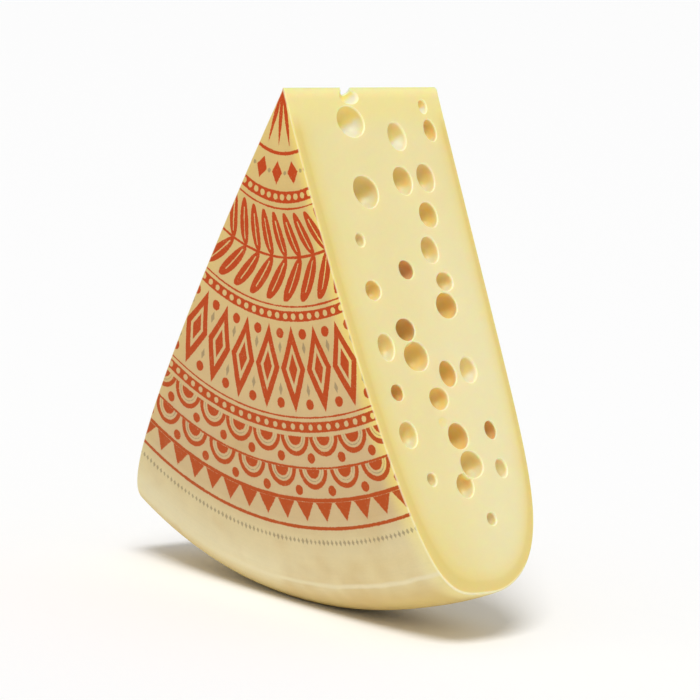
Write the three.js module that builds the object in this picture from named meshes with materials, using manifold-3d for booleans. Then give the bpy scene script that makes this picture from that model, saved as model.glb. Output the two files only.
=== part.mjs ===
// A wedge of large-eyed hard cheese, cut from a round wheel and stood on its rind.
// Its tip edge is at the top, along Y. The domed face of the wheel looks to -Y and the
// flatter one, on which the wheel lay while it ripened, to +Y. Millimetres, Z up, the
// origin on the resting spot right under the middle of the tip edge.

import * as THREE from 'three';
import { mergeVertices } from 'three/addons/utils/BufferGeometryUtils.js';
import Module from 'manifold-3d';

const wasm = await Module();
wasm.setup();

// The wheel.
const WHEEL_RADIUS = 450;
const TIP_THICKNESS = 187;
const BULGE_OFFSET = 11;      // the rim bulges most this far behind the middle of the tip edge
const DOMED_FACE = { radial: 1.58, axial: 4.53 };
const LYING_FACE = { radial: 9.8, axial: 1.8 };

// The wedge and the small flat that its own weight presses into the rind.
const HALF_ANGLE = THREE.MathUtils.degToRad(26.3);
const FLAT_DEPTH = 1.2;

// How finely the round forms are faceted.
const OUTLINE_STEPS = 42;
const FINE_STEPS = 6000;
const LONGEST_CHORD = 60;
const LARGEST_BEND = THREE.MathUtils.degToRad(7);
const WEDGE_STEPS = 20;
const EYE_SIDES = { small: 10, middle: 12, large: 14 };
const EYE_RINGS = { small: 3, middle: 4, large: 5 };

// Eyes on the +X cut: distance below the tip edge, place across it, height and width of
// the opening. The groups say how far the bubble's middle lies under the cut, as a share
// of its radius: a deep one widens behind its mouth, a shallow one is only a dish.
const RIGHT_CUT_EYES = [
  { sunk: 0.72, eyes: [
    [164.5, 0.5, 15.5, 15.5], [217, -18, 18, 21], [271, -46, 13.5, 12.5], [310, 55, 14.5, 12.5],
  ] },
  { sunk: 0.55, eyes: [
    [313, 14, 22.5, 23], [258, 20, 22.5, 19], [198, 39, 23, 24],
  ] },
  { sunk: 0.35, eyes: [
    [116.5, 44, 23, 22], [181, -45, 18, 18], [40, 72, 20, 15], [241, -13, 27, 28], [279, 2, 20, 23],
  ] },
  { sunk: 0.2, eyes: [
    [2, -20, 12, 12], [31, -23, 29, 33], [94, -25, 30, 29], [85, 23, 27, 22.5], [83, 52, 27, 21],
    [147.8, 35, 24.5, 21], [176.5, 44, 18, 20], [338.3, 22, 24.5, 27], [356, 8, 22, 21],
  ] },
  { sunk: 0, eyes: [
    [231, -46, 25, 20], [308, -45, 25, 21], [136.5, -46, 13, 12], [18, 70, 14, 11],
    [348, -30, 13, 12], [387, 30, 13, 12],
  ] },
  { sunk: -0.25, eyes: [
    [45, 29, 27, 23], [256, 46, 25, 21], [344, 57, 19, 15],
  ] },
  { sunk: -0.55, eyes: [
    [8.5, -18, 15, 24.5],
  ] },
  { sunk: -0.88, eyes: [
    [300, -1, 11, 13],
  ] },
];

// Bubbles that met while they grew keep a thin skin between them, unless their mouths lie so
// close together that they grew into one.
const SKIN = 1;

// Eyes on the -X cut follow a rule: the largest first, each where it fits.
const LEFT_CUT_EYES = { count: 26, largest: 31, smallest: 11, seed: 20 };
const EYE_TO_RIND = 16;
const EYE_TO_EYE = 3;

// Half the wheel's outline in the (radius, axis) plane, from the middle of the domed face
// over the rim to the middle of the lying face. Both faces are superellipses.
class WheelOutline extends THREE.Curve {
  getPoint(share) {
    const turn = Math.PI * share;
    const side = share < 0.5 ? -1 : 1;
    const face = side < 0 ? DOMED_FACE : LYING_FACE;
    const depth = TIP_THICKNESS / 2 - side * BULGE_OFFSET;
    const radius = WHEEL_RADIUS * Math.abs(Math.sin(turn)) ** (2 / face.radial);
    const axial = depth * Math.abs(Math.cos(turn)) ** (2 / face.axial);
    return new THREE.Vector2(radius, BULGE_OFFSET + side * axial);
  }
}

// Points along a curve, closer together where it bends more.
function facetCurve(curve, steps) {
  const fine = curve.getPoints(FINE_STEPS);
  const cost = [0];
  for (let i = 1; i < fine.length; i++) {
    const step = fine[i].clone().sub(fine[i - 1]);
    const next = fine[Math.min(i + 1, fine.length - 1)].clone().sub(fine[i]);
    const bend = next.length() > 0 ? Math.abs(Math.atan2(step.cross(next), step.dot(next))) : 0;
    cost.push(cost[i - 1] + step.length() / LONGEST_CHORD + bend / LARGEST_BEND);
  }
  const total = cost[cost.length - 1];
  const points = [];
  for (let i = 0; i <= steps; i++) {
    const wanted = total * i / steps;
    points.push(fine[cost.findIndex((value) => value >= wanted - 1e-9)].clone());
  }
  points[0].x = 0;
  points[steps].x = 0;
  return points;
}

// Half the wheel's thickness from the fullest plane to one face, at a distance from the axis.
function faceDepth(radius, side) {
  const face = side < 0 ? DOMED_FACE : LYING_FACE;
  const depth = TIP_THICKNESS / 2 - side * BULGE_OFFSET;
  return depth * (1 - (radius / WHEEL_RADIUS) ** face.radial) ** (1 / face.axial);
}

// A closed geometry as a solid for cutting and joining.
function toSolid(geometry) {
  const bare = geometry.clone();
  bare.deleteAttribute('normal');
  bare.deleteAttribute('uv');
  const merged = mergeVertices(bare, 1e-3);
  const index = merged.index.array;
  const triVerts = [];
  for (let i = 0; i < index.length; i += 3) {
    const [a, b, c] = index.slice(i, i + 3);
    if (a !== b && b !== c && c !== a) triVerts.push(a, b, c);
  }
  return new wasm.Manifold(new wasm.Mesh({
    numProp: 3,
    vertProperties: new Float32Array(merged.attributes.position.array),
    triVerts: new Uint32Array(triVerts),
  }));
}

function toGeometry(solid) {
  const mesh = solid.getMesh();
  const geometry = new THREE.BufferGeometry();
  geometry.setAttribute('position', new THREE.BufferAttribute(mesh.vertProperties, 3));
  geometry.setIndex(new THREE.BufferAttribute(mesh.triVerts, 1));
  geometry.computeVertexNormals();
  return geometry;
}

// The wedge before it has eyes: the outline swept about the wheel's axis and closed by the
// two cuts, which use the sweep's own first and last ring of points. The tip edge is on top.
function sweptWedge() {
  const outline = facetCurve(new WheelOutline(), OUTLINE_STEPS);
  const wedge = new THREE.LatheGeometry(outline, WEDGE_STEPS, -HALF_ANGLE, 2 * HALF_ANGLE);
  const lastRing = WEDGE_STEPS * outline.length;
  const index = [...wedge.index.array];
  for (const [a, b, c] of THREE.ShapeUtils.triangulateShape(outline, [])) {
    index.push(a, b, c);
    index.push(lastRing + c, lastRing + b, lastRing + a);
  }
  wedge.setIndex(index);
  return toSolid(wedge.rotateY(Math.PI).translate(0, 0, WHEEL_RADIUS - FLAT_DEPTH));
}

// An eye stands in a cut's own frame: x across the cut, y down it and z out of it.
function makeEye(down, across, height, width, sunk) {
  return { down, across, height, width, sunk, reach: Math.max(height, width) / 2 };
}

function eyeSize(eye) {
  if (eye.reach < 8) return 'small';
  return eye.reach < 12 ? 'middle' : 'large';
}

// A bubble cut by the face, with a short neck that sticks out of the face.
function eyeTool(eye) {
  const size = eyeSize(eye);
  const rings = EYE_RINGS[size];
  const radius = 1 / Math.sqrt(1 - eye.sunk ** 2);
  const mouth = Math.acos(-eye.sunk);
  const profile = [];
  for (let i = 0; i <= rings; i++) {
    const turn = (Math.PI - mouth) + mouth * (1 - i / rings);
    profile.push(new THREE.Vector2(radius * Math.sin(turn), radius * (Math.cos(turn) - eye.sunk)));
  }
  profile[0].x = 0;
  profile[rings].set(1, 0);
  const neck = 0.4;
  profile.push(new THREE.Vector2(1, neck), new THREE.Vector2(0, neck));
  const bubble = new THREE.LatheGeometry(profile, EYE_SIDES[size]);
  return bubble.rotateX(Math.PI / 2).scale(eye.width / 2, eye.height / 2, (eye.width + eye.height) / 4);
}

// The frame of a cut, at a point of it: side is 1 for the +X cut and -1 for the -X one.
function cutFrame(side, down, across) {
  const downward = new THREE.Vector3(side * Math.sin(HALF_ANGLE), 0, -Math.cos(HALF_ANGLE));
  const outward = new THREE.Vector3(side * Math.cos(HALF_ANGLE), 0, Math.sin(HALF_ANGLE));
  const sideways = new THREE.Vector3().crossVectors(downward, outward);
  const frame = new THREE.Matrix4().makeBasis(sideways, downward, outward);
  const tip = new THREE.Vector3(0, across, WHEEL_RADIUS - FLAT_DEPTH);
  return frame.setPosition(tip.addScaledVector(downward, down));
}

function bubbleCentre(side, eye) {
  const radius = eye.reach / Math.sqrt(1 - eye.sunk ** 2);
  const centre = new THREE.Vector3(0, 0, -eye.sunk * radius);
  return { centre: centre.applyMatrix4(cutFrame(side, eye.down, eye.across)), radius };
}

function seededRandom(seed) {
  let state = seed;
  return () => {
    state = (state * 1664525 + 1013904223) % 4294967296;
    return state / 4294967296;
  };
}

// Places eyes on the -X cut, clear of the rind and of every bubble already there.
function leftCutEyes(taken) {
  const random = seededRandom(LEFT_CUT_EYES.seed);
  const eyes = [];
  for (let i = 0; i < LEFT_CUT_EYES.count; i++) {
    const share = i / (LEFT_CUT_EYES.count - 1);
    const size = THREE.MathUtils.lerp(LEFT_CUT_EYES.largest, LEFT_CUT_EYES.smallest, share);
    for (let tries = 0; tries < 400; tries++) {
      const down = THREE.MathUtils.lerp(35, WHEEL_RADIUS - 35, random());
      const across = (random() - 0.5) * TIP_THICKNESS;
      const height = size * (1 + 0.1 * random());
      const sunk = 0.6 - 1.1 * random();
      const eye = makeEye(down, across, height, size, sunk);
      const side = across < BULGE_OFFSET ? -1 : 1;
      const toRind = faceDepth(down, side) - Math.abs(across - BULGE_OFFSET) - eye.reach;
      const bubble = bubbleCentre(-1, eye);
      const apart = taken.every((other) => (
        bubble.centre.distanceTo(other.centre) > bubble.radius + other.radius + EYE_TO_EYE
      ));
      if (toRind > EYE_TO_RIND && apart) {
        taken.push(bubble);
        eyes.push(eye);
        break;
      }
    }
  }
  return eyes;
}

// A bubble together with the skin that parts it from its neighbours.
function skinnedBubble(eye) {
  const scale = (eye.width + eye.height) / 4;
  const radius = scale / Math.sqrt(1 - eye.sunk ** 2);
  const bubble = new THREE.SphereGeometry(radius + SKIN, 16, 12).rotateX(Math.PI / 2);
  bubble.scale(eye.width / 2 / scale, eye.height / 2 / scale, 1);
  return bubble.translate(0, 0, -eye.sunk * radius);
}

function parted(side, eye, other) {
  const [here, there] = [eye, other].map((each) => bubbleCentre(side, each));
  const mouths = Math.hypot(eye.down - other.down, eye.across - other.across);
  const meet = here.centre.distanceTo(there.centre) < here.radius + there.radius + SKIN;
  return meet && mouths > Math.max(eye.reach, other.reach);
}

// Cuts one eye. It gives way to the bubbles that were there before it.
function cutEye(solid, side, eye, earlier) {
  let bubble = toSolid(eyeTool(eye).applyMatrix4(cutFrame(side, eye.down, eye.across)));
  for (const other of earlier.filter((each) => parted(side, eye, each))) {
    const kept = skinnedBubble(other).applyMatrix4(cutFrame(side, other.down, other.across));
    bubble = bubble.subtract(toSolid(kept));
  }
  return solid.subtract(bubble);
}

function cheeseWedge() {
  let solid = sweptWedge();
  const floor = new THREE.BoxGeometry(2 * WHEEL_RADIUS, 2 * TIP_THICKNESS, 20);
  solid = solid.subtract(toSolid(floor.translate(0, 0, -10)));
  const rightEyes = RIGHT_CUT_EYES.flatMap(({ sunk, eyes }) => (
    eyes.map(([down, across, height, width]) => makeEye(down, across, height, width, sunk))
  ));
  const taken = rightEyes.map((eye) => bubbleCentre(1, eye));
  for (const [i, eye] of rightEyes.entries()) {
    solid = cutEye(solid, 1, eye, rightEyes.slice(0, i));
  }
  for (const eye of leftCutEyes(taken)) {
    solid = cutEye(solid, -1, eye, []);
  }
  return toGeometry(solid);
}

const paste = new THREE.MeshStandardMaterial({ color: 0xeee0a8, roughness: 0.5, metalness: 0 });
const wedge = new THREE.Mesh(cheeseWedge(), paste);
wedge.name = 'cheese_wedge';

const object = new THREE.Group();
object.add(wedge);

export default object;
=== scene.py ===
"""A wedge of large-eyed hard cheese, cut from a round wheel and stood on its rind.

Metres, Z up, in the frame of the CAD part: the tip edge on top along Y, the printed face
of the wheel towards -Y, the origin on the resting spot right under the tip edge.
"""

from math import acos, atan2, cos, hypot, pi, radians, sin, sqrt

import bmesh
import bpy
import numpy as np
from mathutils import Matrix, Vector


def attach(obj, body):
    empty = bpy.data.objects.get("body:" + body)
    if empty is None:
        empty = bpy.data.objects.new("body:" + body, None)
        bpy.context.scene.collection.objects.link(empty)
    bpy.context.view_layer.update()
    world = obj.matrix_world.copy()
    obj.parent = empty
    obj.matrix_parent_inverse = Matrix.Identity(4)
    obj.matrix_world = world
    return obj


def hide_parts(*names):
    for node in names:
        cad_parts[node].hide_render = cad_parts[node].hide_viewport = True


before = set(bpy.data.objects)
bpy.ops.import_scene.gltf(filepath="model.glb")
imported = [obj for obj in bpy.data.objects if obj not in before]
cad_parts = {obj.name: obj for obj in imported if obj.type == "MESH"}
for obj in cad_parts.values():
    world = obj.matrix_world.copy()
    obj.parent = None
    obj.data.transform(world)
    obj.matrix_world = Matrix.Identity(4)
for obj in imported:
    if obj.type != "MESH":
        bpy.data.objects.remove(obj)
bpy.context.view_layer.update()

# ---------------------------------------------------------------------------------------
# The wedge. A wheel is pressed in a hoop, so its rim bulges and its faces are shallow
# domes; the lower face is flatter, as the wheel lay on it. Two straight cuts through the
# wheel's axis take the wedge out, and its own weight flattens the rind where it stands.
# ---------------------------------------------------------------------------------------
WHEEL_RADIUS = 0.450
TIP_THICKNESS = 0.187
BULGE_OFFSET = 0.011
# Each face is a curve of two powers, one away from the wheel's axis and one along it.
DOMED_FACE = (1.58, 4.53)
LYING_FACE = (9.8, 1.8)
HALF_ANGLE = radians(26.3)
FLAT_DEPTH = 0.0012
TIP = Vector((0, 0, WHEEL_RADIUS - FLAT_DEPTH))
WHEEL_AXIS = Vector((0, 1, 0))

# The share of the radius at which the mesh turns from the faces into the rim.
SHOULDER = 0.885
CELLS_DOWN = 84
CELLS_ACROSS = 36
SWEEP_STEPS = 84
OUTLINE_STEPS = 20000
ON_PLANE = 1e-6
ON_CUT = 2e-6
SAME_POINT = 1e-5


def face_form(side):
    """Both powers and the depth of the domed face (side -1) or the lying one (side 1)."""
    radial, axial = DOMED_FACE if side < 0 else LYING_FACE
    return radial, axial, TIP_THICKNESS / 2 - side * BULGE_OFFSET


def wheel_outline(turn):
    """Distance from the axis and place along it, from the domed face over the rim."""
    side = -1 if turn < pi / 2 else 1
    radial, axial, depth = face_form(side)
    radius = WHEEL_RADIUS * abs(sin(turn)) ** (2 / radial)
    return radius, BULGE_OFFSET + side * depth * abs(cos(turn)) ** (2 / axial)


outline = np.array([wheel_outline(pi * i / OUTLINE_STEPS) for i in range(OUTLINE_STEPS + 1)])
outline[-1, 0] = 0
walked = np.append(0, np.cumsum(np.hypot(*np.diff(outline, axis=0).T)))
shoulders = np.flatnonzero(outline[:, 0] > SHOULDER * WHEEL_RADIUS)[[0, -1]]


def along_outline(first, last, share):
    """The outline's point at a share of the way between two of its points."""
    way = walked[first] + share * (walked[last] - walked[first])
    return np.array([np.interp(way, walked, outline[:, 0]), np.interp(way, walked, outline[:, 1])])


def cut_point(down, across):
    """A point of the cut face: down and across run from 0 to 1 between its four sides."""
    front, back = shoulders
    end = len(outline) - 1
    near = along_outline(0, front, down)
    far = along_outline(end, back, down)
    tip = outline[0] * (1 - across) + outline[end] * across
    rim = along_outline(front, back, across)
    corners = (
        outline[0] * (1 - down) * (1 - across)
        + outline[front] * down * (1 - across)
        + outline[end] * (1 - down) * across
        + outline[back] * down * across
    )
    return near * (1 - across) + far * across + tip * (1 - down) + rim * down - corners


for thing in bpy.context.selected_objects:
    thing.select_set(False)

bpy.ops.mesh.primitive_grid_add(
    size=1, x_subdivisions=CELLS_DOWN, y_subdivisions=CELLS_ACROSS, location=(0, 0, 0)
)
wedge = bpy.context.object
wedge.name = "cheese"
for vertex in wedge.data.vertices:
    radius, axial = cut_point(vertex.co.x + 0.5, vertex.co.y + 0.5)
    vertex.co = TIP + Vector((-radius * sin(HALF_ANGLE), axial, -radius * cos(HALF_ANGLE)))


def select_where(kind, test):
    """Selects, in edit mode, the wedge's faces or edges that pass a test."""
    mesh = bmesh.from_edit_mesh(wedge.data)
    mesh.select_mode = {"FACE" if kind == "faces" else "EDGE"}
    for group in (mesh.verts, mesh.edges, mesh.faces):
        for part in group:
            part.select = False
    for part in getattr(mesh, kind):
        if test(part):
            part.select_set(True)
    bmesh.update_edit_mesh(wedge.data)


def finish_faces(slot, test):
    """Gives the wedge's faces that pass a test one of its materials, in edit mode."""
    select_where("faces", test)
    wedge.active_material_index = slot
    bpy.ops.object.material_slot_assign()


def from_axis(point):
    """How far a point lies from the wheel's axis, on which the tip edge lies."""
    return hypot(point.x - TIP.x, point.z - TIP.z)


def is_rind_edge(edge):
    """True for the cut face's edge towards the rind, which the tip edge isn't part of."""
    return edge.is_boundary and max(from_axis(v.co) for v in edge.verts) > ON_PLANE


def on_cut(point, side):
    """True for a point on the +X cut (side 1) or the -X cut (side -1)."""
    off = side * point.x * cos(HALF_ANGLE) + (point.z - TIP.z) * sin(HALF_ANGLE)
    return abs(off) < ON_CUT


def lies_on_cut(face, side):
    """True for a face that is part of the +X cut (side 1) or the -X cut (side -1)."""
    return all(on_cut(v.co, side) for v in face.verts)


PASTE_SLOT, RIND_SLOT = 0, 1
for name in ("cheese_paste", "cheese_rind"):
    wedge.data.materials.append(bpy.data.materials.new(name))

bpy.ops.object.mode_set(mode="EDIT")
select_where("edges", is_rind_edge)
bpy.ops.mesh.spin(steps=SWEEP_STEPS, angle=2 * HALF_ANGLE, center=TIP, axis=WHEEL_AXIS)
finish_faces(RIND_SLOT, lambda face: not lies_on_cut(face, -1))
select_where("faces", lambda face: face.material_index == PASTE_SLOT)
bpy.ops.mesh.duplicate()
bpy.ops.transform.rotate(value=2 * HALF_ANGLE, orient_axis="Y", center_override=TIP)
bpy.ops.mesh.select_all(action="SELECT")
bpy.ops.mesh.remove_doubles(threshold=SAME_POINT)
bpy.ops.mesh.normals_make_consistent(inside=False)
for side in (1, -1):
    select_where("faces", lambda face: lies_on_cut(face, side))
    bpy.ops.mesh.dissolve_faces()

# ---------------------------------------------------------------------------------------
# The knife edges. A long blade leaves the two cuts flat and their edges to the rind almost
# sharp; handling rounds them over a little more than a millimetre. The tip edge is blunted,
# its far corner worn round, and the resting flat is cut level.
# ---------------------------------------------------------------------------------------
KNIFE_EDGE = 0.0013
# Where the mesh's columns lie on the rounded edge, from its start on the cut to its end.
EDGE_COLUMNS = (0, 0.08, 0.3, 0.62, 1)
TIP_BLUNTED = 0.0004
CORNER_WORN = 0.005
CORNER_TURNS = (22.5, 45, 67.5)
# How much a face looks up, at the least, on the tip's flats and where it is level.
TIP_FACE = 0.3
LEVEL_FACE = 0.999


def inward(radius, axial):
    """Unit vector in a meridian plane, as (radial, axial), from the rind into the cheese."""
    side = -1 if axial < BULGE_OFFSET else 1
    power_r, power_y, depth = face_form(side)
    share = abs(axial - BULGE_OFFSET) / depth
    slope_r = power_r / WHEEL_RADIUS * (radius / WHEEL_RADIUS) ** (power_r - 1)
    slope_y = power_y / depth * share ** (power_y - 1)
    length = hypot(slope_r, slope_y)
    return -slope_r / length, -side * slope_y / length


def slice_off(place, outward):
    """Takes off, in edit mode, what lies beyond a plane, and closes the wedge there."""
    bpy.ops.mesh.select_all(action="SELECT")
    bpy.ops.mesh.bisect(
        plane_co=place, plane_no=outward, use_fill=True, clear_outer=True, threshold=ON_PLANE
    )


columns_in_half = SWEEP_STEPS // 2
last_edge_column = len(EDGE_COLUMNS) - 1
rim_verts = set()
bpy.ops.object.mode_set(mode="OBJECT")
for polygon in wedge.data.polygons:
    if polygon.material_index == RIND_SLOT:
        rim_verts.update(polygon.vertices)
for number in rim_verts:
    vertex = wedge.data.vertices[number]
    radius = from_axis(vertex.co)
    if radius < SAME_POINT:
        continue
    angle = atan2(vertex.co.x, TIP.z - vertex.co.z)
    column = columns_in_half - round(abs(angle) / HALF_ANGLE * columns_in_half)
    edge = min(KNIFE_EDGE, radius * HALF_ANGLE / 2)
    if column <= last_edge_column:
        turned = HALF_ANGLE - EDGE_COLUMNS[column] * edge / radius
        drop = edge * (1 - sqrt(1 - (1 - EDGE_COLUMNS[column]) ** 2))
    else:
        share = (column - last_edge_column) / (columns_in_half - last_edge_column)
        turned = (HALF_ANGLE - edge / radius) * (1 - share)
        drop = 0
    turned = turned if angle > 0 else -turned
    radial, axial = inward(radius, vertex.co.y)
    radius += drop * radial
    vertex.co.y += drop * axial
    vertex.co.x = radius * sin(turned)
    vertex.co.z = TIP.z - radius * cos(turned)

bpy.ops.object.mode_set(mode="EDIT")
bpy.ops.mesh.select_all(action="SELECT")
bpy.ops.mesh.bisect(
    plane_co=(0, 0, 0), plane_no=(0, 0, 1), use_fill=True, clear_inner=True, threshold=ON_PLANE
)
slice_off(TIP - Vector((0, 0, TIP_BLUNTED)), (0, 0, 1))
far_corner = TIP + Vector((0, TIP_THICKNESS / 2 - CORNER_WORN, -CORNER_WORN))
for turn in CORNER_TURNS:
    outward = Vector((0, cos(radians(turn)), sin(radians(turn))))
    slice_off(far_corner + CORNER_WORN * outward, outward)
finish_faces(PASTE_SLOT, lambda face: face.normal.z > TIP_FACE)
finish_faces(RIND_SLOT, lambda face: face.normal.z < -LEVEL_FACE)
bpy.ops.object.mode_set(mode="OBJECT")

# ---------------------------------------------------------------------------------------
# The eyes. Gas bubbles in the ripening cheese, smooth and nearly round, which the blade
# opened where it happened to pass: some just dished, some halved, some wider behind their
# mouth than at it. Each mouth has a lip rounded over about a millimetre.
# ---------------------------------------------------------------------------------------
# The +X cut's eyes, in groups: how deep the middles of their bubbles lie under the cut, as a
# share of the bubble's radius, how mellow their walls are, partly their own colour and partly
# painted shade, and each eye's place down and across the cut, its height and its width.
RIGHT_CUT_EYES = (
    (0.72, 0.95, ((0.1645, 0.0005, 0.0155, 0.0155),)),
    (0.72, 0.81, (
        (0.2170, -0.018, 0.0180, 0.0210), (0.2710, -0.046, 0.0135, 0.0125),
        (0.3100, 0.055, 0.0145, 0.0125),
    )),
    (0.55, 0.72, (
        (0.3130, 0.014, 0.0225, 0.0230), (0.2580, 0.020, 0.0225, 0.0190),
        (0.1980, 0.039, 0.0230, 0.0240),
    )),
    (0.35, 0.50, (
        (0.1165, 0.044, 0.0230, 0.0220), (0.1810, -0.045, 0.0180, 0.0180),
        (0.0400, 0.072, 0.0200, 0.0150), (0.2410, -0.013, 0.0270, 0.0280),
    )),
    (0.35, 0.58, ((0.2790, 0.002, 0.0200, 0.0230),)),
    (0.20, 0.10, ((0.0020, -0.020, 0.0120, 0.0120),)),
    (0.00, 0.12, ((0.0310, -0.023, 0.0290, 0.0330),)),
    (0.20, 0.40, (
        (0.0850, 0.023, 0.0270, 0.0225), (0.0830, 0.052, 0.0270, 0.0210),
        (0.1478, 0.035, 0.0245, 0.0210), (0.1765, 0.044, 0.0180, 0.0200),
        (0.3383, 0.022, 0.0245, 0.0270), (0.3560, 0.008, 0.0220, 0.0210),
    )),
    (0.20, 0.34, ((0.0940, -0.025, 0.0300, 0.0290),)),
    (0.00, 0.45, (
        (0.1365, -0.046, 0.0130, 0.0120), (0.3480, -0.030, 0.0130, 0.0120),
        (0.3870, 0.030, 0.0130, 0.0120),
    )),
    (0.00, 0.36, ((0.2310, -0.046, 0.0250, 0.0200), (0.3080, -0.045, 0.0250, 0.0210))),
    (0.00, 0.20, ((0.0180, 0.070, 0.0140, 0.0110),)),
    (-0.25, 0.45, ((0.3440, 0.057, 0.0190, 0.0150),)),
    (-0.25, 0.32, ((0.2560, 0.046, 0.0250, 0.0210),)),
    (-0.25, 0.26, ((0.0450, 0.029, 0.0270, 0.0230),)),
    (-0.55, 0.14, ((0.0085, -0.018, 0.0150, 0.0245),)),
    (-0.96, 0.00, ((0.3000, -0.001, 0.0110, 0.0130),)),
)
# The -X cut's eyes fall by lot, up to a tenth taller than wide, some closed and some dished.
LEFT_EYE_COUNT = 26
LARGEST_LEFT_EYE = 0.031
SMALLEST_LEFT_EYE = 0.011
LEFT_EYE_SEED = 20
LEFT_EYE_TRIES = 400
LEFT_EYES_INSET = 0.035
TALLER_BY = 0.1
MOST_SUNK = 0.6
SUNK_RANGE = 1.1
HALVED_MELLOW_AND_SHADE = 0.3
MELLOW_AND_SHADE_BY_SUNK = 0.6
EYE_TO_RIND = 0.016
EYE_TO_EYE = 0.003
# Each bubble is a little oval and a little three-cornered, and leans by where it lies.
OVAL = 0.02
THREE_CORNERED = 0.012
LEAN_BY_DOWN = 1000
LEAN_BY_ACROSS = 700
SKIN = 0.001
SKIN_SIDES = 64
LIP_RADIUS = 0.0011
LIP_SLOPE = radians(8)
EYE_SIDES = 44
BUBBLE_RINGS = 15
LIP_RINGS = 5
NECK_HEIGHT = 0.0008
WALL_REACH = 0.0015
MOUTH_LEVEL = 0.0001
LOW_WALL_LEAN = radians(30)
SHARP_FOLD = radians(40)


def cut_frame(side, down, across):
    """Axes of a cut at a point of it: x across, y down, z out of the cheese."""
    downward = Vector((side * sin(HALF_ANGLE), 0, -cos(HALF_ANGLE)))
    outward = Vector((side * cos(HALF_ANGLE), 0, sin(HALF_ANGLE)))
    frame_axes = Matrix((downward.cross(outward), downward, outward)).transposed()
    place = TIP + downward * down + Vector((0, across, 0))
    return Matrix.Translation(place) @ frame_axes.to_4x4()


def bubble_of(side, sunk, eye):
    """Centre and radius of the bubble behind an eye."""
    down, across, height, width = eye
    radius = max(height, width) / 2 / sqrt(1 - sunk**2)
    return cut_frame(side, down, across) @ Vector((0, 0, -sunk * radius)), radius


def seeded_random(seed):
    """Numbers from 0 to 1, the same ones in every run."""
    while True:
        seed = (seed * 1664525 + 1013904223) % 2**32
        yield seed / 2**32


def face_depth(radius, side):
    """Half the wheel's thickness at a distance from its axis, on one side of its bulge."""
    power_r, power_y, depth = face_form(side)
    return depth * (1 - (radius / WHEEL_RADIUS) ** power_r) ** (1 / power_y)


def left_cut_eyes(taken):
    """Eyes for the -X cut, the largest first, clear of the rind and of other bubbles."""
    draw = seeded_random(LEFT_EYE_SEED)
    eyes = []
    for i in range(LEFT_EYE_COUNT):
        share = i / (LEFT_EYE_COUNT - 1)
        size = LARGEST_LEFT_EYE * (1 - share) + SMALLEST_LEFT_EYE * share
        for _ in range(LEFT_EYE_TRIES):
            down = LEFT_EYES_INSET + (WHEEL_RADIUS - 2 * LEFT_EYES_INSET) * next(draw)
            across = (next(draw) - 0.5) * TIP_THICKNESS
            eye = (down, across, size * (1 + TALLER_BY * next(draw)), size)
            sunk = MOST_SUNK - SUNK_RANGE * next(draw)
            side = -1 if across < BULGE_OFFSET else 1
            to_rind = face_depth(down, side) - abs(across - BULGE_OFFSET) - max(eye[2:]) / 2
            centre, radius = bubble_of(-1, sunk, eye)
            apart = all((centre - c).length > radius + r + EYE_TO_EYE for c, r in taken)
            if to_rind > EYE_TO_RIND and apart:
                taken.append((centre, radius))
                eyes.append((sunk, HALVED_MELLOW_AND_SHADE + MELLOW_AND_SHADE_BY_SUNK * sunk, eye))
                break
    return eyes


def eye_profile(mouth, sunk):
    """Radius and height of an eye's rings, from its bottom over its lip to its neck."""
    radius = mouth / sqrt(1 - sunk**2)
    middle = -sunk * radius
    lip_out = sqrt((radius + LIP_RADIUS) ** 2 - (middle + LIP_RADIUS) ** 2)
    last = atan2(-LIP_RADIUS - middle, lip_out)
    rings = []
    for i in range(BUBBLE_RINGS + 1):
        turn = -pi / 2 + (last + pi / 2) * i / BUBBLE_RINGS
        rings.append((radius * cos(turn), middle + radius * sin(turn)))
    start = last + pi
    end = pi / 2 + LIP_SLOPE
    for i in range(1, LIP_RINGS + 1):
        turn = start + (end - start) * i / LIP_RINGS
        rings.append((lip_out + LIP_RADIUS * cos(turn), -LIP_RADIUS + LIP_RADIUS * sin(turn)))
    flare = (NECK_HEIGHT - rings[-1][1]) / sin(LIP_SLOPE) * cos(LIP_SLOPE)
    rings.append((rings[-1][0] + flare, NECK_HEIGHT))
    rings.append((0, NECK_HEIGHT))
    rings[0] = (0, rings[0][1])
    return rings


def make_bubble(side, sunk, eye):
    """A sphere whose rings are moved to an eye's profile, a little out of round."""
    down, across, height, width = eye
    scale = (height + width) / 4
    mouth = scale - LIP_RADIUS / 2
    rings = eye_profile(mouth, sunk)
    bpy.ops.mesh.primitive_uv_sphere_add(segments=EYE_SIDES, ring_count=len(rings) - 1)
    bubble = bpy.context.object
    lean = down * LEAN_BY_DOWN + across * LEAN_BY_ACROSS
    for vertex in bubble.data.vertices:
        ring = round((1 - acos(max(-1, min(1, vertex.co.z))) / pi) * (len(rings) - 1))
        radius, height_here = rings[ring]
        turn = atan2(vertex.co.y, vertex.co.x)
        uneven = 1 + OVAL * cos(2 * turn + lean) + THREE_CORNERED * cos(3 * turn + 2 * lean)
        vertex.co.x = radius * cos(turn) * uneven * width / 2 / scale
        vertex.co.y = radius * sin(turn) * uneven * height / 2 / scale
        vertex.co.z = height_here
    bubble.data.transform(cut_frame(side, down, across))
    bubble.data.materials.append(wedge.data.materials[PASTE_SLOT])
    return bubble


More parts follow.
